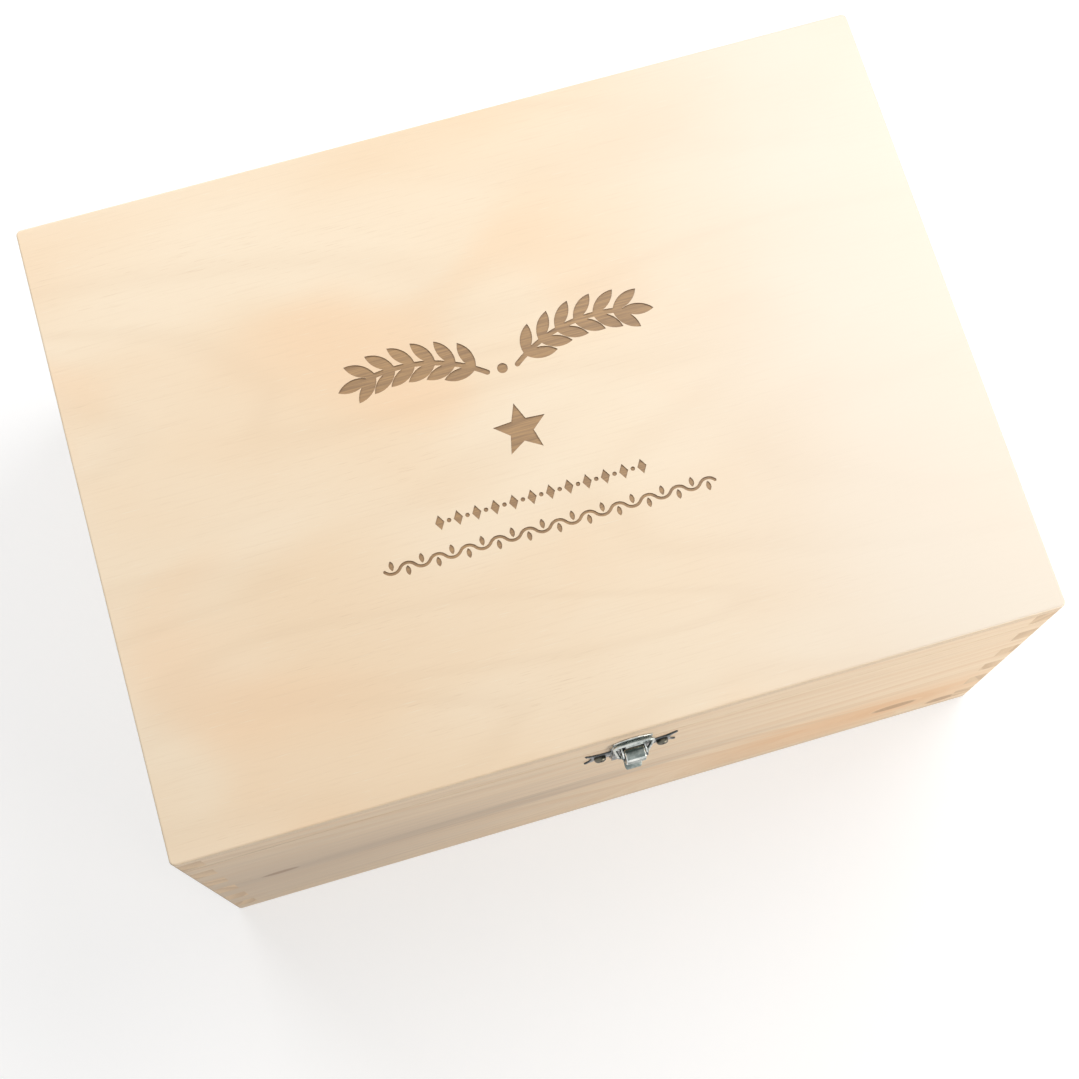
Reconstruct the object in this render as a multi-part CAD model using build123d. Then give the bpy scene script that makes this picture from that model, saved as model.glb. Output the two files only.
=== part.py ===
from build123d import *

import math
import os

# Keepsake box: comb-jointed pine frame, plywood top and base, two hinges at the back and a
# draw latch at the front. Millimetres, +Z up, +Y to the back. The origin is the centre of
# the underside.

# --- box ---------------------------------------------------------------------------------
box_length = 400.0  # along X
box_depth = 300.0  # along Y
box_height = 205.0
lid_height = 26.0  # frame and panel together
wall_thickness = 12.0
panel_thickness = 6.0
finger_pitch = 17.0  # height of one comb finger, counted down from the top of the frame
corner_radius = 2.5  # upright outer edges
panel_round = 0.9  # top edge of the lid
seam_ease = 0.6  # broken edges where lid and base meet
foot_ease = 0.8  # broken edge round the underside

# --- screws ------------------------------------------------------------------------------
pilot_clearance = 0.05  # wood round a screw
hole_clearance = 0.15  # metal round a screw
tip_cover = 2.5  # wood left in front of a screw's tip
pilot_margin = 0.8  # hole past the screw's tip
slot_width = 0.8
slot_depth = 0.6
slot_span = 1.2  # as a share of the head's radius
pan_round = 0.7  # as a share of the head's height
screw_point = 0.1  # flat left at the tip, as a share of the shank

# --- latch -------------------------------------------------------------------------------
latch_offset = 3.5  # the latch sits this far to the right of the middle
latch_sheet = 0.8  # plates
seam_margin = 0.6  # from the seam to the top of the base plate
body_width = 19.0  # middle of the base plate
body_height = 25.4
body_corner = 1.5
rib_rise = 1.2  # of the pressed ribs beside the ears, above the sheet
rib_inset = 0.6  # from the body's edge
rib_round = 0.6
wing_span = 43.0  # tip to tip
wing_height = 18.0  # between the two points of one wing
wing_waist = 10.0
wing_blunt = 0.9  # flat at each point
notch_depth = 3.2
plate_screw_spacing = 29.0
plate_head_radius = 2.7
plate_head_height = 2.2
plate_shank_radius = 1.2

lever_width = 9.2
lever_sheet = 0.9
lever_depth = 7.6  # from the wall to the lever's front at its top
lever_length = 17.7  # from its top to the root of the finger tab
lever_nose = 16.0  # radius of the rounded front, seen from the side
nose_height = 5.3  # of the fullest place, below the top
nose_round = 2.0  # between top and front
lever_gap = 0.5  # between base plate and lever
lever_round = 0.7  # outside of the folds
tab_width = 8.0
tab_reach = 7.6  # from the wall to the tip of the tab
tab_drop = 7.1  # of the tip, below the tab's root
tab_curve = 0.4  # share of the way out at half the drop
tab_root = 0.8  # of the tab up inside the lever
tab_corner = 2.0
pivot_radius = 0.9
pivot_play = 0.08  # radial, where lever and loop turn
pivot_height = -3.2  # from the seam
cheek_radius = 3.3  # lever round its pivot
cheek_inset = 0.4  # of the cheeks' back edges, from that round
ear_radius = 2.5
ear_play = 0.3  # between ear and lever
rivet_radius = 1.6
rivet_height = 0.6

loop_wire = 1.6
loop_width = 20.4  # over the wire, at the keeper
loop_foot = 14.8  # the same, at the lever
loop_bend = 3.0
loop_end_bend = 1.7
loop_drop = 6.5  # loop's pivot below the lever's
loop_inset = 0.6  # and nearer to the wall
loop_top = 8.0  # wire's centre above the seam, when closed
loop_reach = 1.9  # the same, out from the wall
loop_end = 0.6  # of wire past the inside of the lever's cheek

keeper_width = 18.0
keeper_foot = 1.0  # bottom of the keeper above the seam
keeper_rise = 12.5  # and its top
keeper_shoulder = 8.5
keeper_screw_spacing = 11.8
keeper_screw_height = 4.0
keeper_head_radius = 1.8
keeper_head_height = 1.1
keeper_shank_radius = 1.0
hook_width = 8.0
hook_play = 0.3  # under the wire
hook_tip = 1.3  # in front of the wire's centre
hook_rise = 0.15  # of the tip, low enough for the loop to swing out over it

# --- hinges ------------------------------------------------------------------------------
hinge_inset = 70.0  # from the box's end to the middle of a hinge
hinge_length = 38.0
hinge_leaf = 14.0  # from the axis to the leaf's edge
hinge_sheet = 1.2
barrel_radius = 2.2
barrel_gap = 0.3  # between barrel and wood
knuckle_count = 5
knuckle_gap = 0.2
hinge_pin_radius = 1.0
hinge_pin_play = 0.05
hinge_pin_overhang = 0.7
hinge_screw_spacing = 24.0
hinge_screw_height = 8.5
hinge_head_radius = 2.3
hinge_shank_radius = 1.2

# --- engraving on the lid ----------------------------------------------------------------
engraving_depth = 0.5
engraving_x = -5.0  # middle of the ornament
star_y = -6.0
star_radius = 12.6
star_inner_radius = 5.6
sprig_y = 24.0  # root of the two sprigs
sprig_gap = 7.0  # from the middle to each stem
sprig_reach = 74.0
sprig_rise = 12.0
stem_width = 2.4
leaf_length = 15.0
leaf_width = 5.6
leaf_pairs = 6
leaf_start = 0.6  # of a pair's spacing, from the root to the first pair
leaf_angle = 38.0
berry_radius = 2.4
lozenge_row_y = -37.5
lozenge_row_length = 97.0
lozenge_count = 12
lozenge_height = 7.0
lozenge_width = 4.2
dot_radius = 1.0
vine_y = -52.5
vine_length = 151.0
vine_bows = 22
vine_swing = 1.7
vine_stroke = 1.4
vine_leaf_length = 4.6
vine_leaf_width = 2.2
vine_leaf_offset = 1.9  # from the middle line to the leaf's centre

# --- places worked out from the sizes above ----------------------------------------------
seam_z = box_height - lid_height
frame_top = box_height - panel_thickness
half_length = box_length / 2
half_depth = box_depth / 2
loop_radius = loop_wire / 2
pivot_reach = lever_gap + latch_sheet + cheek_radius
loop_pivot_height = pivot_height - loop_drop
loop_pivot_reach = pivot_reach - loop_inset
cheek_inside = lever_width / 2 - lever_sheet
ear_inside = lever_width / 2 + ear_play
ear_outside = ear_inside + latch_sheet
plate_middle = -seam_margin - body_height / 2
hinge_axis = barrel_radius + barrel_gap
screw_bite = wall_thickness - tip_cover  # depth of every screw's tip in the wood

# Each hardware plane lies on its wall at the seam: x sideways, y up and z away from the wood.
front = Plane(origin=(latch_offset, -half_depth, seam_z), x_dir=(1, 0, 0), z_dir=(0, -1, 0))


def back(x):
    return Plane(origin=(x, half_depth, seam_z), x_dir=(-1, 0, 0), z_dir=(0, 1, 0))


def side_view(x):
    """Plane across a hardware plane: x away from the wood, y up, solids growing towards -x."""
    return Plane(origin=(x, 0, 0), x_dir=(0, 0, 1), z_dir=(-1, 0, 0))


def block(x, y, z):
    """Box between two limits on each axis."""
    size = [limits[1] - limits[0] for limits in (x, y, z)]
    middle = [(limits[1] + limits[0]) / 2 for limits in (x, y, z)]
    return Pos(*middle) * Box(*size)


def rod(x, length, radius, height, reach):
    """Round bar along x on a hardware plane, centred at x."""
    return Pos(x, height, reach) * Rot(0, 90, 0) * Cylinder(radius, length)


# --- wood --------------------------------------------------------------------------------
def comb_spans(low, high, own):
    """Heights between low and high where a wall has its own fingers (own is 0 or 1)."""
    spans = []
    for finger in range(own, math.ceil((frame_top - low) / finger_pitch), 2):
        top = min(high, frame_top - finger * finger_pitch)
        bottom = max(low, frame_top - (finger + 1) * finger_pitch)
        if top > bottom:
            spans.append((bottom, top))
    return spans


def long_wall(side, low, high):
    """Front (side -1) or back (side 1) board."""
    y = sorted((side * half_depth, side * (half_depth - wall_thickness)))
    inner = half_length - wall_thickness
    wall = block((-inner, inner), y, (low, high))
    for span in comb_spans(low, high, 1):
        wall += block((-half_length, half_length), y, span)
    return wall


def short_wall(side, low, high):
    """Left (side -1) or right (side 1) board."""
    x = sorted((side * half_length, side * (half_length - wall_thickness)))
    inner = half_depth - wall_thickness
    wall = block(x, (-inner, inner), (low, high))
    for span in comb_spans(low, high, 0):
        wall += block(x, (-half_depth, half_depth), span)
    return wall


def envelope(low, high, ease_low, ease_high, round_top):
    """Outer form of the lid or the base, with its rounded corners and eased edges."""
    form = block((-half_length, half_length), (-half_depth, half_depth), (low, high))
    form = fillet(form.edges().filter_by(Axis.Z), corner_radius)
    form = chamfer(form.edges().group_by(Axis.Z)[0], ease_low)
    rim = form.edges().group_by(Axis.Z)[-1]
    return fillet(rim, ease_high) if round_top else chamfer(rim, ease_high)


def panel(low, form):
    sheet = block((-half_length, half_length), (-half_depth, half_depth), (low, low + panel_thickness))
    return sheet & form


# --- engraved ornament -------------------------------------------------------------------
def leaf(length, width):
    """Pointed oval along X."""
    radius = (length**2 + width**2) / (4 * width)
    shift = radius - width / 2
    return (Pos(0, shift) * Circle(radius)) & (Pos(0, -shift) * Circle(radius))


def star():
    points = []
    for step in range(10):
        radius = star_inner_radius if step % 2 else star_radius
        angle = math.radians(90 + 36 * step)
        points.append((radius * math.cos(angle), radius * math.sin(angle)))
    return Pos(engraving_x, star_y) * Polygon(*points, align=None)


def sprig():
    """Right-hand sprig: an arched stem with pairs of leaves and one at the tip."""
    root = Vector(sprig_gap, sprig_y)
    tip = Vector(sprig_reach - leaf_length, sprig_y + sprig_rise)
    crown = (root + tip) / 2 + Vector(0, sprig_rise / 2)
    stem = ThreePointArc(root, crown, tip)
    shape = SlotArc(stem.edge(), stem_width)
    for pair in range(leaf_pairs):
        along = (pair + leaf_start) / leaf_pairs
        base = stem @ along
        heading = math.degrees(math.atan2((stem % along).Y, (stem % along).X))
        for side in (-1, 1):
            blade = Pos(leaf_length / 2, 0) * leaf(leaf_length, leaf_width)
            shape += Pos(base.X, base.Y) * Rot(0, 0, heading + side * leaf_angle) * blade
    end = stem @ 1
    heading = math.degrees(math.atan2((stem % 1).Y, (stem % 1).X))
    blade = Pos(leaf_length / 2, 0) * leaf(leaf_length, leaf_width)
    return shape + Pos(end.X, end.Y) * Rot(0, 0, heading) * blade


def lozenge_row():
    """Upright lozenges with a dot between each two."""
    shape = Sketch()
    step = (lozenge_row_length - lozenge_width) / (lozenge_count - 1)
    start = -(lozenge_row_length - lozenge_width) / 2
    half_w = lozenge_width / 2
    half_h = lozenge_height / 2
    for index in range(lozenge_count):
        x = start + index * step
        corners = ((x - half_w, 0), (x, -half_h), (x + half_w, 0), (x, half_h))
        shape += Polygon(*corners, align=None)
        if index < lozenge_count - 1:
            shape += Pos(x + step / 2, 0) * Circle(dot_radius)
    return Pos(engraving_x, lozenge_row_y) * shape


def vine():
    """A wavy line of bows with a small leaf in the hollow of each."""
    shape = Sketch()
    bow = vine_length / vine_bows
    for index in range(vine_bows):
        x = -vine_length / 2 + index * bow
        way = 1 if index % 2 else -1
        arc = ThreePointArc((x, 0), (x + bow / 2, way * vine_swing), (x + bow, 0))
        shape += SlotArc(arc.edge(), vine_stroke)
        blade = Rot(0, 0, 90) * leaf(vine_leaf_length, vine_leaf_width)
        shape += Pos(x + bow / 2, -way * vine_leaf_offset) * blade
    return Pos(engraving_x, vine_y) * shape


def engraving():
    pair = Sketch() + sprig() + mirror(sprig(), about=Plane.YZ)
    pair += Pos(0, sprig_y) * Circle(berry_radius)
    flat = Pos(engraving_x, 0) * pair + star() + lozenge_row() + vine()
    return Pos(0, 0, box_height - engraving_depth) * extrude(flat, 2 * engraving_depth)


# --- fasteners: head's seat at z = 0, shank towards -z -----------------------------------
def shank(radius, length):
    straight = length - 2 * radius
    body = Pos(0, 0, -straight / 2) * Cylinder(radius, straight)
    tip = Pos(0, 0, -straight - radius) * Cone(screw_point * radius, radius, 2 * radius)
    return body + tip


def cross_slot(radius, top):
    arm = Box(slot_span * radius, slot_width, 2 * slot_depth)
    return Pos(0, 0, top) * (arm + Rot(0, 0, 90) * arm)


def pan_screw(head_radius, head_height, shank_radius, length):
    head = Pos(0, 0, head_height / 2) * Cylinder(head_radius, head_height)
    head = fillet(head.edges().group_by(Axis.Z)[-1], pan_round * head_height)
    return head + shank(shank_radius, length) - cross_slot(head_radius, head_height)


def flat_screw(head_radius, shank_radius, length):
    """Countersunk screw whose head is flush at z = 0."""
    depth = head_radius - shank_radius
    head = Pos(0, 0, -depth / 2) * Cone(shank_radius, head_radius, depth)
    return head + Pos(0, 0, -depth) * shank(shank_radius, length - depth) - cross_slot(head_radius, 0)


def pilot(radius):
    """Hole in the wood for a shank, from z = 0 down."""
    depth = screw_bite + pilot_margin
    return Pos(0, 0, -depth / 2) * Cylinder(radius + pilot_clearance, depth)


# --- latch, in the front plane -----------------------------------------------------------
plate_screw_spots = [(side * plate_screw_spacing / 2, plate_middle) for side in (-1, 1)]
keeper_screw_spots = [(side * keeper_screw_spacing / 2, keeper_screw_height) for side in (-1, 1)]
hinge_screw_spots = [side * hinge_screw_spacing / 2 for side in (-1, 1)]


def wing():
    """Right-hand wing of the base plate, about the plate's middle."""
    half = wing_height / 2
    waist = wing_waist / 2
    tip = wing_span / 2
    shoulder = tip - wing_blunt
    corner = half - wing_blunt / 2
    root = body_width / 2 - wing_blunt
    middle = (root + shoulder) / 2
    outline = Curve() + ThreePointArc((root, waist), (middle, waist), (shoulder, half))
    outline += Line((shoulder, half), (tip, corner))
    outline += ThreePointArc((tip, corner), (tip - notch_depth, 0), (tip, -corner))
    outline += Line((tip, -corner), (shoulder, -half))
    outline += ThreePointArc((shoulder, -half), (middle, -waist), (root, -waist))
    outline += Line((root, -waist), (root, waist))
    return make_face(outline)


def bored(x, length, radius, height, reach, part):
    return part - rod(x, length, radius, height, reach)


def latch_base_plate():
    sheet = RectangleRounded(body_width, body_height, body_corner) + wing() + mirror(wing(), about=Plane.YZ)
    plate = Pos(0, plate_middle, 0) * extrude(sheet, latch_sheet)
    plate = chamfer(plate.edges().group_by(Axis.Z)[-1], latch_sheet / 4)
    for x, y in plate_screw_spots:
        plate -= Pos(x, y, 0) * Cylinder(plate_shank_radius + hole_clearance, 4 * latch_sheet)
    rib_width = body_width / 2 - rib_inset - ear_outside
    rib = extrude(RectangleRounded(rib_width, body_height - 2 * rib_inset, rib_round), latch_sheet + rib_rise)
    rib = fillet(rib.edges().group_by(Axis.Z)[-1], rib_round / 2)
    for side in (-1, 1):
        plate += Pos(side * (ear_outside + rib_width / 2), plate_middle, 0) * rib
    outline = Pos(pivot_reach, pivot_height) * Circle(ear_radius)
    outline += Pos(pivot_reach / 2, pivot_height) * Rectangle(pivot_reach, 2 * ear_radius)
    for edge in (-ear_inside, ear_outside):
        plate += side_view(edge) * extrude(outline, latch_sheet)
    return bored(0, 4 * ear_outside, pivot_radius + pilot_clearance, pivot_height, pivot_reach, plate)


def latch_pin():
    pin = rod(0, 2 * ear_outside, pivot_radius, pivot_height, pivot_reach)
    for side in (-1, 1):
        x = side * (ear_outside + rivet_height / 2)
        pin += rod(x, rivet_height, rivet_radius, pivot_height, pivot_reach)
    return chamfer(pin.edges().group_by(Axis.X)[0] + pin.edges().group_by(Axis.X)[-1], rivet_height / 2)


def latch_lever():
    """Duck-bill lever: two cheeks, a top and a rounded front that narrows down to a finger tab."""
    top = pivot_height + cheek_radius
    bottom = top - lever_length
    back_edge = pivot_reach - cheek_radius + cheek_inset
    nose_y = top - nose_height
    nose_x = lever_depth - math.sqrt(lever_nose**2 - nose_height**2)
    sides = Pos(back_edge, bottom) * Rectangle(lever_nose, pivot_height - bottom, align=Align.MIN)
    sides += Pos(pivot_reach, bottom) * Rectangle(lever_nose, lever_length, align=Align.MIN)
    outline = (Pos(nose_x, nose_y) * Circle(lever_nose)) & sides
    corner = outline.vertices().sort_by(lambda vertex: vertex.X + vertex.Y)[-1]
    body = extrude(fillet(corner, nose_round), lever_width)
    barrel = extrude(Pos(pivot_reach, pivot_height) * Circle(cheek_radius), lever_width)
    body = fillet(body.edges().filter_by(GeomType.CIRCLE), lever_round)
    lever = side_view(lever_width / 2) * (body + fillet(barrel.edges().filter_by(GeomType.CIRCLE), lever_round))
    hollow = Pos(nose_x, nose_y) * Circle(lever_nose - lever_sheet)
    hollow &= Pos(-lever_nose, bottom) * Rectangle(3 * lever_nose, lever_length - lever_sheet, align=Align.MIN)
    lever -= side_view(cheek_inside) * extrude(hollow, 2 * cheek_inside)
    root = nose_x + math.sqrt(lever_nose**2 - (nose_y - bottom) ** 2) - lever_sheet / 2
    bend = ThreePointArc(
        (root, bottom + tab_root),
        (root + tab_curve * (tab_reach - root), bottom - tab_drop / 2),
        (tab_reach, bottom - tab_drop),
    )
    tab = side_view(tab_width / 2) * extrude(SlotArc(bend.edge(), lever_sheet), tab_width)
    tip = bottom - tab_drop - lever_sheet / 2
    trim = RectangleRounded(tab_width, 2 * lever_length, tab_corner)
    tab &= Pos(0, tip + lever_length) * extrude(trim, 2 * lever_depth)
    lever += tab
    hole = 2 * lever_width
    lever = bored(0, hole, pivot_radius + pivot_play, pivot_height, pivot_reach, lever)
    return bored(0, hole, loop_radius + pivot_play, loop_pivot_height, loop_pivot_reach, lever)


def latch_loop():
    rise = loop_top - loop_pivot_height
    lean = loop_reach - loop_pivot_reach
    plane = Plane(origin=(0, loop_pivot_height, loop_pivot_reach), x_dir=(1, 0, 0), z_dir=(0, -lean, rise))
    height = math.hypot(rise, lean)
    head = loop_width / 2 - loop_radius
    foot = loop_foot / 2 - loop_radius
    end = cheek_inside - loop_end
    points = ((-end, 0), (-foot, 0), (-head, height), (head, height), (foot, 0), (end, 0))
    bends = (loop_end_bend, loop_bend, loop_bend, loop_end_bend)
    path = FilletPolyline(*points, radius=bends)
    start = Plane(origin=(-end, 0, 0), z_dir=(-1, 0, 0))
    return plane * sweep(start * Circle(loop_radius), path=path)


def latch_keeper():
    floor_top = loop_top - loop_radius - hook_play
    floor = floor_top - latch_sheet
    tip = loop_reach + hook_tip
    half = keeper_width / 2
    crown = ThreePointArc((half, keeper_shoulder), (0, keeper_rise), (-half, keeper_shoulder))
    low = keeper_foot
    sides = Polyline((-half, keeper_shoulder), (-half, low), (half, low), (half, keeper_shoulder))
    plate = extrude(make_face(Curve() + crown + sides), latch_sheet)
    plate = chamfer(plate.edges().group_by(Axis.Z)[-1], latch_sheet / 4)
    for x, y in keeper_screw_spots:
        plate -= Pos(x, y, 0) * Cylinder(keeper_shank_radius + hole_clearance, 4 * latch_sheet)
    hook = Polygon(
        (0, floor),
        (loop_reach, floor),
        (tip, floor + hook_rise),
        (tip, floor_top + hook_rise),
        (loop_reach, floor_top),
        (0, floor_top),
        align=None,
    )
    strip = side_view(hook_width / 2) * extrude(hook, hook_width)
    nose = strip.edges().filter_by(Axis.X).group_by(Axis.Z)[-1]
    return plate + fillet(nose, latch_sheet / 3)


# --- hinges, in a back plane -------------------------------------------------------------
def hinge_leaf_plate(way, own):
    """Leaf above (way 1) or below (way -1) the axis, with every second knuckle from own."""
    root = barrel_radius + knuckle_gap
    half = hinge_length / 2
    heights = sorted((way * root, way * hinge_leaf))
    plate = block((-half, half), heights, (0, hinge_sheet))
    corners = plate.edges().filter_by(Axis.Z).group_by(Axis.Y)[-1 if way > 0 else 0]
    plate = fillet(corners, hinge_sheet)
    pitch = hinge_length / knuckle_count
    for index in range(own, knuckle_count, 2):
        x = -half + (index + 0.5) * pitch
        width = pitch - knuckle_gap
        plate += rod(x, width, barrel_radius, 0, hinge_axis)
        web = sorted((0, way * 2 * root))
        plate += block((x - width / 2, x + width / 2), web, (barrel_gap, hinge_sheet))
    for x in hinge_screw_spots:
        spot = Pos(x, way * hinge_screw_height, hinge_sheet)
        depth = hinge_head_radius - hinge_shank_radius
        sink = Cone(hinge_shank_radius + hole_clearance, hinge_head_radius + hole_clearance, depth)
        plate -= spot * Pos(0, 0, -depth / 2) * sink
        plate -= spot * Cylinder(hinge_shank_radius + hole_clearance, 4 * hinge_sheet)
    return bored(0, 2 * hinge_length, hinge_pin_radius + hinge_pin_play, 0, hinge_axis, plate)


def hinge_pin():
    pin = rod(0, hinge_length + 2 * hinge_pin_overhang, hinge_pin_radius, 0, hinge_axis)
    ends = pin.edges().group_by(Axis.X)
    return chamfer(ends[0] + ends[-1], hinge_pin_radius / 3)


# --- assembly ----------------------------------------------------------------------------
base_form = envelope(0, seam_z, foot_ease, seam_ease, False)
lid_form = envelope(seam_z, box_height, seam_ease, panel_round, True)
hinge_places = {"left": hinge_inset - half_length, "right": half_length - hinge_inset}

plate_pilots = [front * Pos(x, y, 0) * pilot(plate_shank_radius) for x, y in plate_screw_spots]
keeper_pilots = [front * Pos(x, y, 0) * pilot(keeper_shank_radius) for x, y in keeper_screw_spots]


def hinge_screws(way):
    shape = flat_screw(hinge_head_radius, hinge_shank_radius, screw_bite + hinge_sheet)
    spots = [Pos(x, way * hinge_screw_height, hinge_sheet) for x in hinge_screw_spots]
    return [back(place) * spot * shape for place in hinge_places.values() for spot in spots]


def hinge_pilots(way):
    hole = pilot(hinge_shank_radius)
    spots = [Pos(x, way * hinge_screw_height, 0) for x in hinge_screw_spots]
    return [back(place) * spot * hole for place in hinge_places.values() for spot in spots]


def pan_screws(spots, head_radius, head_height, shank_radius):
    shape = pan_screw(head_radius, head_height, shank_radius, screw_bite + latch_sheet)
    return [front * Pos(x, y, latch_sheet) * shape for x, y in spots]


parts = {
    "base_panel": panel(0, base_form),
    "front_wall": (long_wall(-1, panel_thickness, seam_z) & base_form) - plate_pilots,
    "back_wall": (long_wall(1, panel_thickness, seam_z) & base_form) - hinge_pilots(-1),
    "left_wall": short_wall(-1, panel_thickness, seam_z) & base_form,
    "right_wall": short_wall(1, panel_thickness, seam_z) & base_form,
    "lid_panel": panel(frame_top, lid_form) - engraving(),
    "lid_front_rail": (long_wall(-1, seam_z, frame_top) & lid_form) - keeper_pilots,
    "lid_back_rail": (long_wall(1, seam_z, frame_top) & lid_form) - hinge_pilots(1),
    "lid_left_rail": short_wall(-1, seam_z, frame_top) & lid_form,
    "lid_right_rail": short_wall(1, seam_z, frame_top) & lid_form,
    "latch_base_plate": front * latch_base_plate(),
    "latch_plate_screws": Compound(
        children=pan_screws(plate_screw_spots, plate_head_radius, plate_head_height, plate_shank_radius)
    ),
    "latch_pin": front * latch_pin(),
    "latch_lever": front * latch_lever(),
    "latch_loop": front * latch_loop(),
    "latch_keeper": front * latch_keeper(),
    "keeper_screws": Compound(
        children=pan_screws(keeper_screw_spots, keeper_head_radius, keeper_head_height, keeper_shank_radius)
    ),
    "hinge_base_screws": Compound(children=hinge_screws(-1)),
    "hinge_lid_screws": Compound(children=hinge_screws(1)),
}
for name, place in hinge_places.items():
    parts[f"{name}_hinge_base_leaf"] = back(place) * hinge_leaf_plate(-1, 0)
    parts[f"{name}_hinge_lid_leaf"] = back(place) * hinge_leaf_plate(1, 1)
    parts[f"{name}_hinge_pin"] = back(place) * hinge_pin()

os.makedirs("parts", exist_ok=True)
for name, shape in parts.items():
    export_step(shape, f"parts/{name}.step")
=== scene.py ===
import math

import bpy
from mathutils import Matrix, Vector


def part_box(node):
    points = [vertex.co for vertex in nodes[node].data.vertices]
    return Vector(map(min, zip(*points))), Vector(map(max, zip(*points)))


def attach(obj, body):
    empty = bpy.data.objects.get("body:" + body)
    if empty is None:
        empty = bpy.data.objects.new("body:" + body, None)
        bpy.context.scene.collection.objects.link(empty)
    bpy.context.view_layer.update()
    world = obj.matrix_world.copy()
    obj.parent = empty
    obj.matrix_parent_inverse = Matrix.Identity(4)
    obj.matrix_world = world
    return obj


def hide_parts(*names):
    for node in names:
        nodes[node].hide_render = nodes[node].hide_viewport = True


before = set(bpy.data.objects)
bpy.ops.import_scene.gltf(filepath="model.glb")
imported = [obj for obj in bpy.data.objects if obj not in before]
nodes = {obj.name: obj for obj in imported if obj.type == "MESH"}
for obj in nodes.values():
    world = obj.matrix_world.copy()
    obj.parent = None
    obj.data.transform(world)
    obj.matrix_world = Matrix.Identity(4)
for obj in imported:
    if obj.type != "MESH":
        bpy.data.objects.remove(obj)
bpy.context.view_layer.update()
print("frame loaded:", len(nodes), "nodes")

mm = 0.001
white = (1.0, 1.0, 1.0, 1.0)

# the camera comes first
shot = {
    "lens": 66.25,
    "sensor": 36,
    "nearest": 0.01,  # metres
    "place": (-0.0830, -0.2768, 1.0427),
    "aim": (-0.0116, -0.0571, 0.2050),
    "roll": 1.63,  # degrees, anticlockwise
}


def aimed(place, target):
    turn = (Vector(target) - Vector(place)).to_track_quat("-Z", "Y")
    return Matrix.Translation(place) @ turn.to_matrix().to_4x4()


def addCamera():
    data = bpy.data.cameras.new("camera")
    data.lens = shot["lens"]
    data.sensor_width = shot["sensor"]
    data.clip_start = shot["nearest"]
    camera = bpy.data.objects.new("camera", data)
    bpy.context.scene.collection.objects.link(camera)
    roll = Matrix.Rotation(math.radians(shot["roll"]), 4, "Z")
    camera.matrix_world = aimed(shot["place"], shot["aim"]) @ roll
    bpy.context.scene.camera = camera


# small helpers for the shader trees
def isSocket(value):
    return isinstance(value, bpy.types.NodeSocket)


def plug(tree, socket, value):
    if isSocket(value):
        tree.links.new(value, socket)
    else:
        socket.default_value = value


def addNode(tree, kind, settings, inputs):
    node = tree.nodes.new(kind)
    for name, value in settings.items():
        setattr(node, name, value)
    for name, value in inputs.items():
        plug(tree, node.inputs[name], value)
    return node


def calc(tree, operation, *values):
    inputs = dict(enumerate(values))
    return addNode(tree, "ShaderNodeMath", {"operation": operation}, inputs).outputs[0]


def rootOfSquares(tree, first, second):
    squares = [calc(tree, "MULTIPLY", value, value) for value in (first, second)]
    return calc(tree, "SQRT", calc(tree, "ADD", *squares))


def sway(tree, pattern, amount, value):
    # moves a value up and down by half the amount at most
    return calc(tree, "MULTIPLY_ADD", calc(tree, "SUBTRACT", pattern, 0.5), amount, value)


def fade(tree, value, low, high, atLow=0.0, atHigh=1.0):
    inputs = {"Value": value, "From Min": low, "From Max": high, "To Min": atLow, "To Max": atHigh}
    node = addNode(tree, "ShaderNodeMapRange", {"interpolation_type": "SMOOTHSTEP"}, inputs)
    return node.outputs["Result"]


def mixColor(tree, amount, first, second):
    inputs = {0: amount, 6: first, 7: second}
    return addNode(tree, "ShaderNodeMix", {"data_type": "RGBA"}, inputs).outputs[2]


def noise(tree, coords, scale, detail=2.0, rough=0.5, twist=0.0):
    # scale is in turns per millimetre along each axis
    spread = addNode(tree, "ShaderNodeMapping", {}, {"Vector": coords, "Scale": scale}).outputs[0]
    inputs = {
        "Vector": spread, "Scale": 1.0, "Detail": detail, "Roughness": rough, "Distortion": twist,
    }
    return addNode(tree, "ShaderNodeTexNoise", {}, inputs).outputs[0]


def shifted(tree, coords, shift):
    return addNode(tree, "ShaderNodeMapping", {}, {"Vector": coords, "Location": shift}).outputs[0]


def inMillimetres(tree, shift=(0.0, 0.0, 0.0)):
    place = addNode(tree, "ShaderNodeTexCoord", {}, {}).outputs["Object"]
    inputs = {"Vector": place, "Scale": (1 / mm, 1 / mm, 1 / mm), "Location": shift}
    return addNode(tree, "ShaderNodeMapping", {}, inputs).outputs[0]


def parts(tree, vector):
    return addNode(tree, "ShaderNodeSeparateXYZ", {}, {0: vector}).outputs


def facing(tree, axis):
    normal = addNode(tree, "ShaderNodeTexCoord", {}, {}).outputs["Normal"]
    return calc(tree, "ABSOLUTE", parts(tree, normal)[axis])


def roughen(tree, shader, height, strength, depth):
    inputs = {"Strength": strength, "Distance": depth, "Height": height}
    tree.links.new(addNode(tree, "ShaderNodeBump", {}, inputs).outputs[0], shader.inputs["Normal"])


def newMaterial(name):
    material = bpy.data.materials.new(name)
    material.use_nodes = True
    tree = material.node_tree
    return material, tree, tree.nodes["Principled BSDF"]


def dress(things, *materials):
    for thing in things:
        thing.data.materials.clear()
        for material in materials:
            thing.data.materials.append(material)


def rgb(red, green, blue):
    # screen values to the linear ones that Blender works in
    values = [value / 255 for value in (red, green, blue)]
    return (*[v / 12.92 if v <= 0.04 else ((v + 0.055) / 1.055) ** 2.4 for v in values], 1.0)


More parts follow.
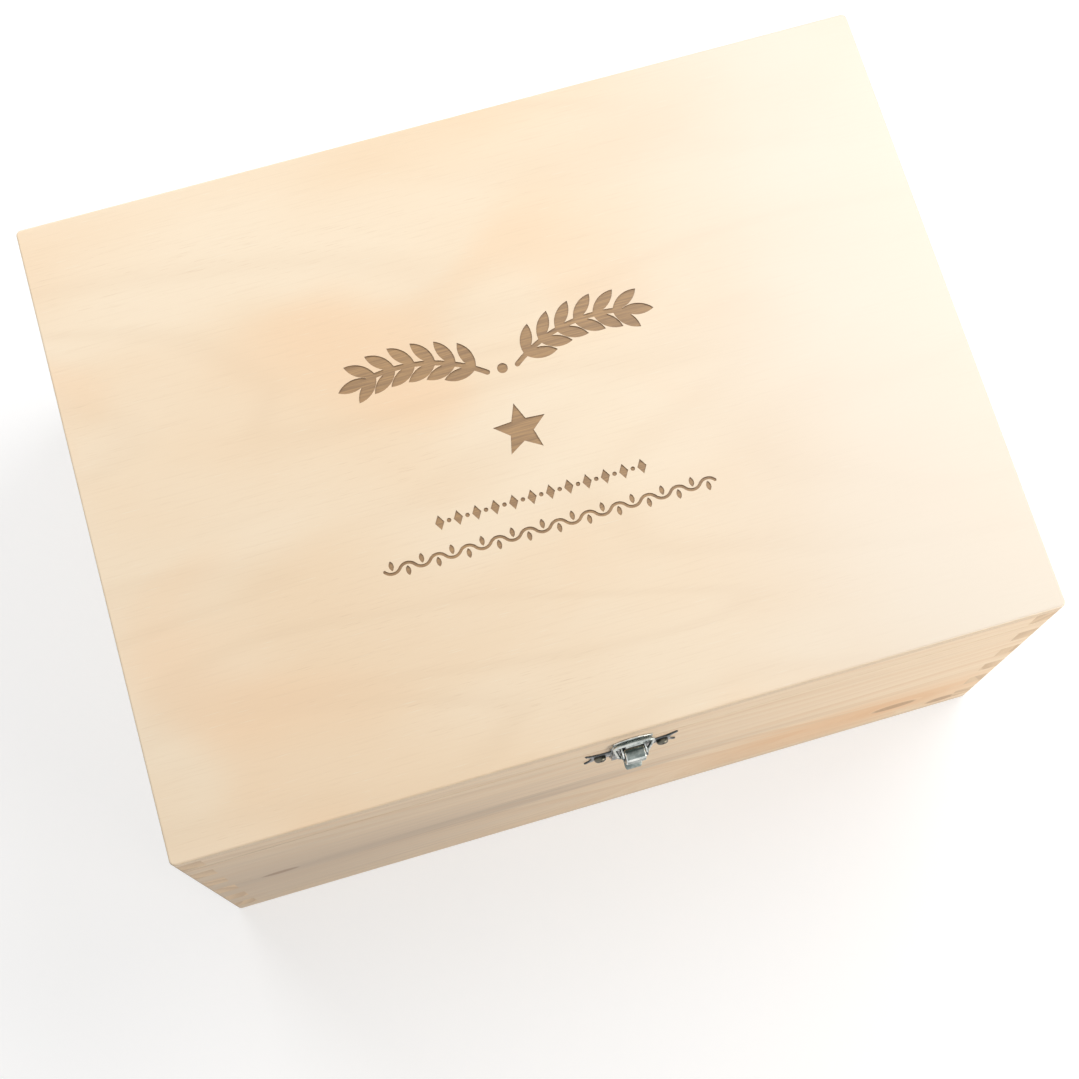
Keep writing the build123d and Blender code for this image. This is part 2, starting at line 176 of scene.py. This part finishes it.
# pine boards: growth rings run round a heart line that lies beside each board
# a pattern is (turns per millimetre along, across and up), detail, roughness
# a fade is from, to, and where it isn't 0 to 1 also its values there
pine = {
    "pale": rgb(241, 221, 194),
    "late": rgb(216, 176, 132),
    "weathered": rgb(202, 184, 162),
    "endGrain": rgb(222, 194, 158),
    "knot": rgb(132, 91, 58),
    "amber": rgb(226, 176, 124),
    "greyStainAndShade": rgb(176, 159, 143),
    "boardStep": 41.0,  # mm from one board's patterns to the next one's
    "wander": ((0.0035, 0.013, 0.013), 2.0, 0.45),
    "ripple": ((0.012, 0.08, 0.08), 3.0, 0.55),
    "fibre": ((0.028, 1.5, 1.5), 4.0, 0.62),
    "strand": ((0.007, 0.3, 0.3), 3.0, 0.6),
    "hair": ((0.016, 3.4, 3.4), 2.0, 0.6),
    "cloud": ((0.004, 0.02, 0.02), 2.0, 0.5),
    "pores": ((1.1, 1.1, 1.1), 3.0, 0.6),
    "ringGap": 10.5,  # mm
    "ringWander": 52.0,  # mm that the rings drift sideways
    "ringRipple": 3.4,
    "ringRise": (0.15, 0.9),  # across one ring, from early to late wood
    "ringFall": (0.92, 1.0, 1.0, 0.0),
    "ringShow": (0.3, 0.7, 0.06, 0.34),  # clearer in some places than in others
    "fineGap": 2.1,  # mm
    "fineRise": (0.3, 0.9),
    "fineFall": (0.93, 1.0, 1.0, 0.0),
    "fineShow": 0.1,
    "fibreShow": 0.4,
    "hairFade": (0.5, 0.75),
    "hairShow": 0.16,
    "strandFade": (0.45, 0.8),
    "strandShow": 0.2,
    "weathering": (0.5, 0.85, 0.0, 0.3),
    "stainSway": 1.3,  # unevenness of a stain's outline
    "stainFade": (0.1, 1.1),
    "seamWidth": 0.6,  # mm, painted shade: a dark line where boards and panels meet
    "seamCore": 0.1,
    "seamShow": 0.6,
    "uprightFaces": (0.4, 0.8, 1.0, 0.0),
    "endFaces": (0.6, 0.9),
    "endShow": 0.75,
    "endRings": 0.3,
    "poreFade": (0.35, 0.75),
    "poreShow": 0.2,
    "roughness": 0.6,
    "bump": 0.3,
    "bumpDepth": 0.00016,  # metres
    "bumpFibre": 0.6,
    "bumpRings": 0.4,
}
# knots: reaches and widths are in sizes of the knot
knots = {
    "outlineSway": 5.0,  # mm
    "bendReach": 3.6,  # rings bend round the knot as far as this
    "bend": 2.0,
    "core": (0.65, 1.15),
    "rim": (0.7, 0.95),
    "rimShow": 0.4,
    "ringGap": 0.7,  # mm
    "ringWobble": 2.6,  # mm
    "ringFade": (0.1, 0.6, 0.64, 0.76),
    "show": 0.74,
}
seamNodes = ("front_wall", "lid_front_rail", "lid_panel")
seamLevels = sorted({round(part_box(name)[0][2] / mm, 3) for name in seamNodes})
# run is the axis along the board, heart (across, up) the place of the heart line beside it
# and lean its slant; a knot is (run, up, size, stretch)
# a stain is (run, up, half length, half height, strength, tone)
boards = {
    "pineFront": {
        "nodes": ("front_wall", "lid_front_rail"),
        "run": 0, "heart": (-226.0, 40.0), "lean": (0.05, 0.07),
        "knots": ((152.0, 40.0, 6.0, 1.9), (182.0, 17.0, 6.0, 1.4), (-166.0, 93.0, 4.2, 2.1)),
        "stains": (
            # painted shade: this first, large grey stain darkens the front's left part, where less light
            # falls; the smaller grey stains are the wood's own
            (-170.0, 90.0, 230.0, 150.0, 0.5, "greyStainAndShade"),
            (-60.0, 92.0, 190.0, 17.0, 0.5, "greyStainAndShade"),
            (130.0, 46.0, 120.0, 44.0, 0.55, "amber"),
            (-60.0, 150.0, 120.0, 9.0, 0.3, "pale"),
        ),
    },
    "pineBack": {
        "nodes": ("back_wall", "lid_back_rail"),
        "run": 0, "heart": (232.0, 130.0), "lean": (-0.05, 0.04),
        "knots": ((-90.0, 70.0, 5.0, 1.7), (64.0, 132.0, 3.0, 2.2)),
        "stains": (
            (110.0, 60.0, 110.0, 16.0, 0.5, "amber"),
            (-60.0, 150.0, 60.0, 14.0, 0.3, "greyStainAndShade"),
        ),
    },
    "pineLeft": {
        "nodes": ("left_wall", "lid_left_rail"),
        "run": 1, "heart": (-284.0, 70.0), "lean": (0.05, -0.06),
        "knots": ((46.0, 112.0, 4.2, 1.9),),
        "stains": (
            (-50.0, 60.0, 80.0, 14.0, 0.45, "amber"),
            (60.0, 150.0, 60.0, 12.0, 0.3, "greyStainAndShade"),
        ),
    },
    "pineRight": {
        "nodes": ("right_wall", "lid_right_rail"),
        "run": 1, "heart": (274.0, 110.0), "lean": (0.04, 0.06),
        "knots": ((-62.0, 48.0, 4.6, 1.8),),
        "stains": (
            (40.0, 110.0, 90.0, 16.0, 0.45, "amber"),
            (-90.0, 160.0, 40.0, 10.0, 0.3, "greyStainAndShade"),
        ),
    },
}


def ringBand(tree, radius, size):
    # 0 to 1 across each ring, from early to late wood
    ring = calc(tree, "FRACT", calc(tree, "DIVIDE", radius, pine[size + "Gap"]))
    rise = fade(tree, ring, *pine[size + "Rise"])
    return calc(tree, "MULTIPLY", rise, fade(tree, ring, *pine[size + "Fall"]))


def addKnots(tree, board, run, up, ripple, strand, radius):
    # gives the rings' radius bent round the knots, and how much of a knot there is
    core = 0.0
    for knotRun, knotUp, size, stretch in board["knots"]:
        aside = calc(tree, "DIVIDE", calc(tree, "SUBTRACT", run, knotRun), stretch)
        above = calc(tree, "SUBTRACT", up, knotUp)
        distance = rootOfSquares(tree, aside, above)
        distance = sway(tree, ripple, knots["outlineSway"], distance)
        bend = fade(tree, distance, 0.0, knots["bendReach"] * size, knots["bend"] * size, 0.0)
        radius = calc(tree, "ADD", bend, radius)
        coreFrom, coreTo = [share * size for share in knots["core"]]
        inside = fade(tree, distance, coreFrom, coreTo, 1.0, 0.0)
        wobble = calc(tree, "MULTIPLY_ADD", strand, knots["ringWobble"], distance)
        rings = fade(tree, calc(tree, "PINGPONG", wobble, knots["ringGap"]), *knots["ringFade"])
        rimFrom, rimTo = [share * size for share in knots["rim"]]
        rim = fade(tree, distance, rimFrom, rimTo, 0.0, knots["rimShow"])
        rim = calc(tree, "MULTIPLY", rim, inside)
        core = calc(tree, "MAXIMUM", calc(tree, "MULTIPLY_ADD", inside, rings, rim), core)
    return radius, core


def addStains(tree, board, run, up, strand, color):
    for stainRun, stainUp, halfLength, halfHeight, strength, tone in board["stains"]:
        aside = calc(tree, "DIVIDE", calc(tree, "SUBTRACT", run, stainRun), halfLength)
        above = calc(tree, "DIVIDE", calc(tree, "SUBTRACT", up, stainUp), halfHeight)
        reach = rootOfSquares(tree, aside, above)
        reach = sway(tree, strand, pine["stainSway"], reach)
        amount = fade(tree, reach, *pine["stainFade"], strength, 0.0)
        color = mixColor(tree, amount, color, pine[tone])
    return color


def addSeamShade(tree, up, color):
    # painted shade along the seams where parts meet, on upright faces only
    upright = fade(tree, facing(tree, 2), *pine["uprightFaces"])
    for level in seamLevels:
        gap = calc(tree, "ABSOLUTE", calc(tree, "SUBTRACT", up, level))
        shadow = fade(tree, gap, pine["seamCore"], pine["seamWidth"], pine["seamShow"], 0.0)
        shadow = calc(tree, "MULTIPLY", shadow, upright)
        color = mixColor(tree, shadow, color, pine["knot"])
    return color


def addEndGrain(tree, board, coords, late, color):
    ends = fade(tree, facing(tree, board["run"]), *pine["endFaces"])
    pores = fade(tree, noise(tree, coords, *pine["pores"]), *pine["poreFade"])
    rings = calc(tree, "MULTIPLY", late, pine["endRings"])
    amount = calc(tree, "MULTIPLY_ADD", pores, pine["poreShow"], rings)
    tone = mixColor(tree, amount, pine["endGrain"], pine["knot"])
    return mixColor(tree, calc(tree, "MULTIPLY", ends, pine["endShow"]), color, tone)


def pineMaterial(name, board, seed):
    material, tree, shader = newMaterial(name)
    coords = inMillimetres(tree)
    place = parts(tree, coords)
    run, across, up = place[board["run"]], place[1 - board["run"]], place[2]
    grain = addNode(tree, "ShaderNodeCombineXYZ", {}, {0: run, 1: across, 2: up}).outputs[0]
    grain = shifted(tree, grain, (0, seed * pine["boardStep"], 0))
    patterns = ("wander", "ripple", "fibre", "strand", "hair", "cloud")
    wander, ripple, fibre, strand, hair, cloud = [
        noise(tree, grain, *pine[pattern]) for pattern in patterns]

    away = []
    for value, heart, lean in zip((across, up), board["heart"], board["lean"]):
        away.append(calc(tree, "MULTIPLY_ADD", run, lean, calc(tree, "SUBTRACT", value, heart)))
    radius = rootOfSquares(tree, *away)
    radius = calc(tree, "MULTIPLY_ADD", wander, pine["ringWander"], radius)
    radius = calc(tree, "MULTIPLY_ADD", ripple, pine["ringRipple"], radius)
    radius, core = addKnots(tree, board, run, up, ripple, strand, radius)

    late, fine = ringBand(tree, radius, "ring"), ringBand(tree, radius, "fine")

    amount = calc(tree, "MULTIPLY", late, fade(tree, cloud, *pine["ringShow"]))
    amount = sway(tree, fibre, pine["fibreShow"], amount)
    amount = calc(tree, "MULTIPLY_ADD", fine, pine["fineShow"], amount)
    for pattern, name in ((hair, "hair"), (strand, "strand")):
        streaks = fade(tree, pattern, *pine[name + "Fade"])
        amount = calc(tree, "MULTIPLY_ADD", streaks, pine[name + "Show"], amount)
    amount = calc(tree, "MAXIMUM", amount, 0.0)
    color = mixColor(tree, amount, pine["pale"], pine["late"])
    color = mixColor(tree, fade(tree, strand, *pine["weathering"]), color, pine["weathered"])
    color = addStains(tree, board, run, up, strand, color)
    color = mixColor(tree, calc(tree, "MULTIPLY", core, knots["show"]), color, pine["knot"])
    color = addSeamShade(tree, up, color)
    color = addEndGrain(tree, board, coords, late, color)
    tree.links.new(color, shader.inputs["Base Color"])
    shader.inputs["Roughness"].default_value = pine["roughness"]
    height = calc(tree, "MULTIPLY", late, pine["bumpRings"])
    height = calc(tree, "MULTIPLY_ADD", fibre, pine["bumpFibre"], height)
    roughen(tree, shader, height, pine["bump"], pine["bumpDepth"])
    return material


# birch plywood: pale face veneer, five veneers on its edges, scorched where it is engraved; painted shade
# on the walls of the cut, and a painted sheen to the right of the lid
# a pattern is (turns per millimetre in x, y and z), detail, roughness, twist
plywood = {
    "pale": rgb(253, 233, 204),
    "cream": rgb(249, 222, 187),
    "peach": rgb(252, 216, 176),
    "fleck": rgb(222, 190, 152),
    "shine": rgb(255, 243, 222),
    "paintedSheen": rgb(246, 235, 219),
    "edgeLight": rgb(236, 214, 182),
    "edgeDark": rgb(206, 176, 140),
    "glue": rgb(150, 118, 88),
    "scorched": rgb(200, 158, 106),
    "deepCharAndShade": rgb(116, 86, 56),
    "sheetStep": 57.0,  # mm from one sheet's patterns to the next one's
    "swirl": ((0.0026, 0.0085, 0.004), 2.0, 0.4, 0.5),
    "swirlBands": 17.0,
    "swirlFade": (0.5, 1.0),
    "swirlShow": 0.1,
    "fibre": ((0.035, 1.1, 0.4), 4.0, 0.65),
    "fibreFade": (0.48, 0.85, 0.0, 0.24),
    "dash": ((0.075, 1.9, 0.4), 2.0, 0.5),
    "dashFade": (0.62, 0.74),
    "dashField": ((0.007, 0.02, 0.01), 2.0, 0.5),
    "dashFieldFade": (0.45, 0.7),
    "dashShow": 0.45,
    "shineFade": (0.24, 0.36, 0.4, 0.0),  # pale flecks, between the dark dashes
    "cloud": ((0.006, 0.011, 0.01), 2.0, 0.5),
    "cloudFade": (0.35, 0.7),
    "warm": ((0.0085, 0.012, 0.02), 1.0, 0.5, 0.6),
    "warmFade": (0.52, 0.75, 0.0, 0.6),
    "paintedSheenReach": (20.0, 170.0, 0.0, 0.7),  # mm; painted sheen: the lid's veneer is painted paler to the right, where the key lamp's reflection falls
    "veneers": 5,
    "glueLine": (0.02, 0.1, 0.45, 0.0),  # in thicknesses of a veneer
    "speckle": ((1.3, 1.3, 0.6), 3.0, 0.6),
    "speckleFade": (0.42, 0.72, 0.0, 0.4),
    "flatFaces": (0.45, 0.8),
    "engravingDepth": 0.5,  # mm
    "cutFrom": (0.02, 0.08),  # mm below the face
    "cutTo": (0.8, 1.2, 1.0, 0.0),
    "cutFloor": (0.8, 0.96),  # of the engraving's depth; the walls above the floor get painted shade
    "cutFibre": (0.3, 0.7, 0.78, 0.28),
    "rim": 8.0,  # mm, no engraving this near to the edges
    "roughness": 0.42,
    "sheen": 0.8,
    "bump": 0.2,
    "bumpDepth": 0.0001,  # metres
}


def veneerFace(tree, coords, fibre):
    swirl = noise(tree, coords, *plywood["swirl"])
    swirl = calc(tree, "PINGPONG", calc(tree, "MULTIPLY", swirl, plywood["swirlBands"]), 1.0)
    swirl = fade(tree, swirl, *plywood["swirlFade"])
    dash, dashField, cloud, warm = [
        noise(tree, coords, *plywood[pattern]) for pattern in ("dash", "dashField", "cloud", "warm")]
    color = mixColor(tree, fade(tree, cloud, *plywood["cloudFade"]), plywood["pale"], plywood["cream"])
    color = mixColor(tree, fade(tree, warm, *plywood["warmFade"]), color, plywood["peach"])
    amount = calc(tree, "MULTIPLY", swirl, plywood["swirlShow"])
    color = mixColor(tree, amount, color, plywood["fleck"])
    color = mixColor(tree, fade(tree, fibre, *plywood["fibreFade"]), color, plywood["fleck"])
    field = fade(tree, dashField, *plywood["dashFieldFade"])
    amount = calc(tree, "MULTIPLY", fade(tree, dash, *plywood["dashFade"]), field)
    amount = calc(tree, "MULTIPLY", amount, plywood["dashShow"])
    color = mixColor(tree, amount, color, plywood["fleck"])
    return mixColor(tree, fade(tree, dash, *plywood["shineFade"]), color, plywood["shine"])


def veneerEdges(tree, coords, up, bottom, thickness):
    level = calc(tree, "SUBTRACT", up, bottom)
    level = calc(tree, "MULTIPLY", level, plywood["veneers"] / thickness)
    dark = calc(tree, "FLOORED_MODULO", calc(tree, "FLOOR", level), 2.0)
    line = fade(tree, calc(tree, "PINGPONG", level, 0.5), *plywood["glueLine"])
    speckle = fade(tree, noise(tree, coords, *plywood["speckle"]), *plywood["speckleFade"])
    color = mixColor(tree, dark, plywood["edgeLight"], plywood["edgeDark"])
    color = mixColor(tree, speckle, color, plywood["edgeDark"])
    return mixColor(tree, line, color, plywood["glue"])


def engrave(tree, place, corner, fibre, color):
    # corner is the lid's upper right back one
    inner = [calc(tree, "LESS_THAN", calc(tree, "ABSOLUTE", place[axis]), corner[axis] - plywood["rim"])
             for axis in (0, 1)]
    depth = calc(tree, "SUBTRACT", corner[2], place[2])
    cut = [fade(tree, depth, *plywood[limits]) for limits in ("cutFrom", "cutTo")]
    floorFrom, floorTo = [share * plywood["engravingDepth"] for share in plywood["cutFloor"]]
    streaks = fade(tree, fibre, *plywood["cutFibre"])
    scorch = mixColor(tree, streaks, plywood["deepCharAndShade"], plywood["scorched"])
    # painted shade: the cut's walls, above its floor, take the deep tone; partly real char, partly the
    # shade of the recess
    scorch = mixColor(tree, fade(tree, depth, floorFrom, floorTo), plywood["deepCharAndShade"], scorch)
    amount = calc(tree, "MULTIPLY", calc(tree, "MULTIPLY", *cut), calc(tree, "MULTIPLY", *inner))
    return mixColor(tree, amount, color, scorch)


def plyMaterial(name, node, seed, engraved):
    material, tree, shader = newMaterial(name)
    low, high = [[value / mm for value in corner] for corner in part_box(node)]
    coords = inMillimetres(tree, (0.0, seed * plywood["sheetStep"], 0.0))
    place = parts(tree, inMillimetres(tree))
    fibre = noise(tree, coords, *plywood["fibre"])
    flat = fade(tree, facing(tree, 2), *plywood["flatFaces"])
    face = veneerFace(tree, coords, fibre)
    edges = veneerEdges(tree, coords, place[2], low[2], high[2] - low[2])
    color = mixColor(tree, flat, edges, face)
    if engraved:
        # painted sheen: the lid's top is painted paler towards the right, where the key lamp's reflection
        # falls
        paintedSheenAmount = calc(tree, "MULTIPLY", fade(tree, place[0], *plywood["paintedSheenReach"]), flat)
        color = mixColor(tree, paintedSheenAmount, color, plywood["paintedSheen"])
        color = engrave(tree, place, high, fibre, color)
    tree.links.new(color, shader.inputs["Base Color"])
    shader.inputs["Roughness"].default_value = plywood["roughness"]
    shader.inputs["Specular IOR Level"].default_value = plywood["sheen"]
    roughen(tree, shader, fibre, plywood["bump"], plywood["bumpDepth"])
    return material


# plated steel, clouded and pitted; one bright finish is painted highlight on folds and rims, with some
# rubbed wear
plating = {
    "cloud": ((0.22, 0.22, 0.22), 3.0, 0.6),
    "cloudFade": (0.38, 0.68),
    "dullFade": (0.25, 0.75),
    "pits": ((1.9, 1.9, 1.9), 3.0, 0.6),
    "pitsFade": (0.6, 0.8, 0.0, 0.5),
    "pitsBump": 0.5,
    "brush": ((5.0, 0.8, 0.8), 3.0, 0.6),
    "bumpDepth": 0.00003,  # metres
    "finishes": {
        # tone, shade, roughness from and to, scratches
        "nickelFace": (rgb(158, 166, 162), rgb(104, 114, 112), (0.2, 0.42), 0.18),
        # painted shade: the base plate is a darker copy of the nickel, for the lever's shadow on it and
        # the dark things it reflects
        "plateShadedNickel": (rgb(104, 108, 112), rgb(62, 70, 72), (0.22, 0.42), 0.16),
        # painted highlight: the bright finish for folds and rims that face the lamps and sky
        "nickelHighlight": (rgb(232, 234, 230), rgb(184, 190, 188), (0.12, 0.24), 0.1),
        # painted highlight: the wire loop is a brighter copy of the nickel, for its bright reflections
        "wireLitNickel": (rgb(206, 210, 206), rgb(128, 138, 138), (0.16, 0.3), 0.1),
        "screwFace": (rgb(104, 102, 92), rgb(52, 50, 44), (0.28, 0.5), 0.25),
        "zincFace": (rgb(168, 174, 178), rgb(146, 152, 157), (0.3, 0.42), 0.22),
    },
    "highlightedAndRubbed": "nickelHighlight",
}


def metalMaterial(name):
    tone, shade, roughness, scratches = plating["finishes"][name]
    material, tree, shader = newMaterial(name)
    coords = inMillimetres(tree)
    cloud, pits, brush = [noise(tree, coords, *plating[pattern]) for pattern in ("cloud", "pits", "brush")]
    color = mixColor(tree, fade(tree, cloud, *plating["cloudFade"]), tone, shade)
    color = mixColor(tree, fade(tree, pits, *plating["pitsFade"]), color, shade)
    tree.links.new(color, shader.inputs["Base Color"])
    shader.inputs["Metallic"].default_value = 1.0
    tree.links.new(fade(tree, cloud, *plating["dullFade"], *roughness), shader.inputs["Roughness"])
    height = calc(tree, "ADD", brush, calc(tree, "MULTIPLY", pits, plating["pitsBump"]))
    roughen(tree, shader, height, scratches, plating["bumpDepth"])
    return material


# hardware pieces are finer copies of the solids, with their sharp edges rounded
rounding = {
    "joinWithin": 0.000002,  # metres
    "steps": 3,
    "sharperThan": 38,  # degrees
    "sliver": 0.000001,  # metres; faces thinner than this are taken out afterwards
    "smoothUpTo": 40,  # degrees
}
# where faces get the bright finish, painted highlight with some rubbed wear; side, front and rise are
# parts of a face's normal
highlightAndWear = {
    "foldDepth": 15,  # mm, from the top of the lever down
    "foldSide": (0.3, 0.95),
    "foldFront": -0.6,
    "foldRise": (0.2, 0.65),
    "rimMiddle": 3.5,  # mm
    "rimReach": 9.4,  # mm, to both sides of the middle
    "rimRise": 0.3,
    "rimFront": 0.6,
}


def deselectAll():
    for thing in bpy.context.selected_objects:
        thing.select_set(False)


def activate(thing):
    deselectAll()
    thing.select_set(True)
    bpy.context.view_layer.objects.active = thing


def highlightFolds(piece):
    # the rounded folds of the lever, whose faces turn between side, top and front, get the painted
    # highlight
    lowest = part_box("latch_lever")[1][2] - highlightAndWear["foldDepth"] * mm
    (sideFrom, sideTo), (riseFrom, riseTo) = highlightAndWear["foldSide"], highlightAndWear["foldRise"]
    for face in piece.data.polygons:
        side, front, rise = abs(face.normal.x), face.normal.y, face.normal.z
        fold = sideFrom < side < sideTo or (front < highlightAndWear["foldFront"] and riseFrom < rise < riseTo)
        if face.center.z > lowest and fold:
            face.material_index = 1


def highlightRims(piece):
    # the upper rim of a plate, to both sides of its middle, gets the painted highlight where it faces up
    for face in piece.data.polygons:
        near = abs(face.center.x - highlightAndWear["rimMiddle"] * mm) < highlightAndWear["rimReach"] * mm
        if near and face.normal.z > highlightAndWear["rimRise"] and abs(face.normal.y) < highlightAndWear["rimFront"]:
            face.material_index = 1


def inEditMode(piece, operator, **settings):
    activate(piece)
    bpy.ops.object.mode_set(mode="EDIT")
    bpy.ops.mesh.select_all(action="SELECT")
    operator(**settings)
    bpy.ops.object.mode_set(mode="OBJECT")


def softCopy(pieceName, nodeName, body, edgeWidth):
    piece = bpy.data.objects.new(pieceName, nodes[nodeName].data.copy())
    bpy.context.scene.collection.objects.link(piece)
    inEditMode(piece, bpy.ops.mesh.remove_doubles, threshold=rounding["joinWithin"])
    bevel = piece.modifiers.new("rounding", "BEVEL")
    bevel.width = edgeWidth * mm
    bevel.segments = rounding["steps"]
    bevel.limit_method = "ANGLE"
    bevel.angle_limit = math.radians(rounding["sharperThan"])
    bevel.use_clamp_overlap = False
    bevel.loop_slide = False
    bpy.ops.object.modifier_apply(modifier="rounding")
    inEditMode(piece, bpy.ops.mesh.dissolve_degenerate, threshold=rounding["sliver"])
    bpy.ops.object.shade_smooth_by_angle(angle=math.radians(rounding["smoothUpTo"]))
    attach(piece, body)
    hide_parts(nodeName)
    return piece


# floor, lamps and sky
studio = {
    "floorSize": 10.0,  # metres
    "floorDrop": 0.0002,
    "floorTone": rgb(190, 190, 190),
    "floorRoughness": 0.9,
    "floorGlow": (0.58, 1.0),  # near and far, added for the camera and for mirrors
    "floorReach": (0.5, 1.7),  # metres from the middle
    "sky": 0.34,
    "keyPlace": (0.85, 0.38, 1.3),
    "keyAim": (0.0, 0.0, 0.2),
    "keySize": 0.95,
    "keyPower": 12.3,
    "keyTint": (1.0, 1.0, 1.0),
    "backPlace": (-0.45, 0.9, 0.9),
    "backAim": (0.0, 0.0, 0.2),
    "backSize": 0.7,
    "backPower": 5.0,
    "backTint": (1.0, 1.0, 1.0),
    "fillPlace": (0.62, -0.85, 0.15),
    "fillAim": (0.05, -0.15, 0.12),
    "fillSize": 0.5,
    "fillPower": 6.0,
    "fillTint": (1.0, 0.92, 0.82),
}


def seenDirectly(tree):
    path = addNode(tree, "ShaderNodeLightPath", {}, {}).outputs
    seen = calc(tree, "MAXIMUM", path["Is Camera Ray"], path["Is Glossy Ray"])
    return calc(tree, "MAXIMUM", seen, path["Is Transmission Ray"])


def addFloor():
    place = (0, 0, -studio["floorDrop"])
    bpy.ops.mesh.primitive_plane_add(size=studio["floorSize"], location=place)
    floor = bpy.context.object
    floor.name = "floor"
    bpy.ops.object.transform_apply(location=True, rotation=False, scale=False)
    material, tree, shader = newMaterial("floorPaint")
    shader.inputs["Base Color"].default_value = studio["floorTone"]
    shader.inputs["Roughness"].default_value = studio["floorRoughness"]
    shader.inputs["Emission Color"].default_value = white
    place = addNode(tree, "ShaderNodeTexCoord", {}, {}).outputs["Object"]
    distance = addNode(tree, "ShaderNodeVectorMath", {"operation": "LENGTH"}, {0: place})
    glow = fade(tree, distance.outputs["Value"], *studio["floorReach"], *studio["floorGlow"])
    glow = calc(tree, "MULTIPLY", seenDirectly(tree), glow)
    tree.links.new(glow, shader.inputs["Emission Strength"])
    dress([floor], material)


def addSky():
    sky = bpy.data.worlds.new("plainSky")
    bpy.context.scene.world = sky
    sky.use_nodes = True
    tree = sky.node_tree
    background = tree.nodes["Background"]
    background.inputs["Color"].default_value = white
    level = studio["sky"]
    strength = calc(tree, "MULTIPLY_ADD", seenDirectly(tree), 1.0 - level, level)
    tree.links.new(strength, background.inputs["Strength"])


def addLamps():
    for name in ("key", "back", "fill"):
        data = bpy.data.lights.new(name + "Lamp", "AREA")
        data.energy = studio[name + "Power"]
        data.size = studio[name + "Size"]
        data.color = studio[name + "Tint"]
        lamp = bpy.data.objects.new(name + "Lamp", data)
        bpy.context.scene.collection.objects.link(lamp)
        lamp.matrix_world = aimed(studio[name + "Place"], studio[name + "Aim"])


deselectAll()
addCamera()
addFloor()
addSky()
addLamps()
bpy.context.scene.view_settings.view_transform = "Standard"
print("camera and studio ready")

for number, (name, board) in enumerate(boards.items(), 1):
    dress([nodes[node] for node in board["nodes"]], pineMaterial(name, board, number))
dress([nodes["lid_panel"]], plyMaterial("birchLid", "lid_panel", 1, True))
dress([nodes["base_panel"]], plyMaterial("birchBase", "base_panel", 2, False))
print("wood finished")

# piece, node, body, slot, rounding of the edges in mm, finish
hardware = (
    ("latchPlate", "latch_base_plate", "base", "latch_steel", 0.14, "plateShadedNickel"),
    ("latchLever", "latch_lever", "latch_lever", "latch_steel", 0.2, "nickelFace"),
    ("latchLoop", "latch_loop", "latch_loop", "loop_wire", 0.1, "wireLitNickel"),
    ("latchKeeper", "latch_keeper", "lid", "latch_steel", 0.14, "nickelFace"),
    ("latchPin", "latch_pin", "base", "latch_steel", 0.12, "nickelFace"),
    ("latchPlateScrews", "latch_plate_screws", "base", "screw_steel", 0.12, "screwFace"),
    ("keeperScrews", "keeper_screws", "lid", "screw_steel", 0.12, "screwFace"),
    ("leftHingeBaseLeaf", "left_hinge_base_leaf", "base", "hinge_steel", 0.15, "zincFace"),
    ("leftHingeLidLeaf", "left_hinge_lid_leaf", "lid", "hinge_steel", 0.15, "zincFace"),
    ("leftHingePin", "left_hinge_pin", "base", "hinge_steel", 0.15, "zincFace"),
    ("rightHingeBaseLeaf", "right_hinge_base_leaf", "base", "hinge_steel", 0.15, "zincFace"),
    ("rightHingeLidLeaf", "right_hinge_lid_leaf", "lid", "hinge_steel", 0.15, "zincFace"),
    ("rightHingePin", "right_hinge_pin", "base", "hinge_steel", 0.15, "zincFace"),
    ("hingeBaseScrews", "hinge_base_screws", "base", "screw_steel", 0.08, "zincFace"),
    ("hingeLidScrews", "hinge_lid_screws", "lid", "screw_steel", 0.08, "zincFace"),
)
highlightedAndRubbed = {"latchPlate": highlightRims, "latchLever": highlightFolds, "latchKeeper": highlightRims}
metals = {name: metalMaterial(name) for name in plating["finishes"]}
for pieceName, nodeName, body, slotName, edgeWidth, finish in hardware:
    piece = softCopy(pieceName, nodeName, body, edgeWidth)
    dress([piece], metals[finish])
    if pieceName in highlightedAndRubbed:
        piece.data.materials.append(metals[plating["highlightedAndRubbed"]])
        highlightedAndRubbed[pieceName](piece)
print("hardware finished")
